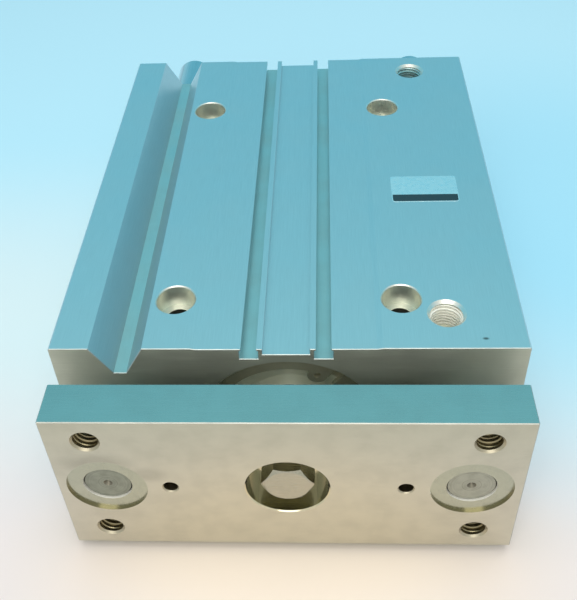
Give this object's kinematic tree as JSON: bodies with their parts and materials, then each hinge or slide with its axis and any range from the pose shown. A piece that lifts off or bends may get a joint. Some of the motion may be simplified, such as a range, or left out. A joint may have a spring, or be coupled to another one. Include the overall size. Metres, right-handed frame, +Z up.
{
  "type": "guided pneumatic cylinder",
  "caption": "Compact guided pneumatic cylinder: slotted aluminium body with air ports, and a tapped front plate that a piston rod between guide rods pushes straight out.",
  "frame": {"origin": "centre of the four body mounting holes, on the bottom face", "axes": "+Z up out of the top face with the ports, +X towards the port side, -Y the way the plate goes out"},
  "size_m": [0.162, 0.2845, 0.078],
  "materials": {
    "body_anodised": "clear hard anodised, satin, drawn along the body",
    "plate_nickel": "nickel plated carbon steel, ground",
    "bolt_nickel": "nickel plated carbon steel",
    "plated_steel": "nickel plated carbon steel",
    "rod_chrome": "hard chrome plated and ground",
    "cover_aluminium": "chromated aluminium, turned",
    "spring_steel": "phosphated spring steel",
    "bearing_steel": "ground bearing steel",
    "bearing_bronze": "cast bearing bronze",
    "seal_rubber": "black nitrile rubber",
    "bumper_urethane": "amber urethane",
    "cage_resin": "moulded acetal",
    "wear_resin": "filled resin band",
    "magnet": "bonded magnet strip",
    "felt": "oiled felt"
  },
  "bodies": {
    "housing": {"body": "body_anodised", "front_port_plug": "plated_steel", "rear_port_plug": "plated_steel", "rod_cover": "cover_aluminium", "rod_cover_o_ring": "seal_rubber", "rod_cover_ring": "spring_steel", "rod_bush": "bearing_bronze", "rod_seal": "seal_rubber", "front_bumper": "bumper_urethane", "head_cover": "cover_aluminium", "head_cover_o_ring": "seal_rubber", "head_cover_ring": "spring_steel", "rear_bumper": "bumper_urethane", "left_guide_ring": "spring_steel", "left_wiper_holder": "cage_resin", "left_wiper": "felt", "left_front_bush_sleeve": "bearing_steel", "left_front_bush_cage": "cage_resin", "left_bush_spacer": "cover_aluminium", "left_rear_bush_sleeve": "bearing_steel", "left_rear_bush_cage": "cage_resin", "right_guide_ring": "spring_steel", "right_wiper_holder": "cage_resin", "right_wiper": "felt", "right_front_bush_sleeve": "bearing_steel", "right_front_bush_cage": "cage_resin", "right_bush_spacer": "cover_aluminium", "right_rear_bush_sleeve": "bearing_steel", "right_rear_bush_cage": "cage_resin"},
    "carriage": {"front_plate": "plate_nickel", "plate_bolt": "bolt_nickel", "piston_rod": "rod_chrome", "left_guide_rod": "rod_chrome", "right_guide_rod": "rod_chrome", "piston": "cover_aluminium", "piston_gasket": "seal_rubber", "wear_ring": "wear_resin", "magnet_ring": "magnet", "piston_seal": "seal_rubber"}
  },
  "joints": [
    {"name": "plate_slide", "type": "slide", "parent": "housing", "child": "carriage", "axis": [0, -1, 0], "range_m": [0, 0.15]}
  ]
}
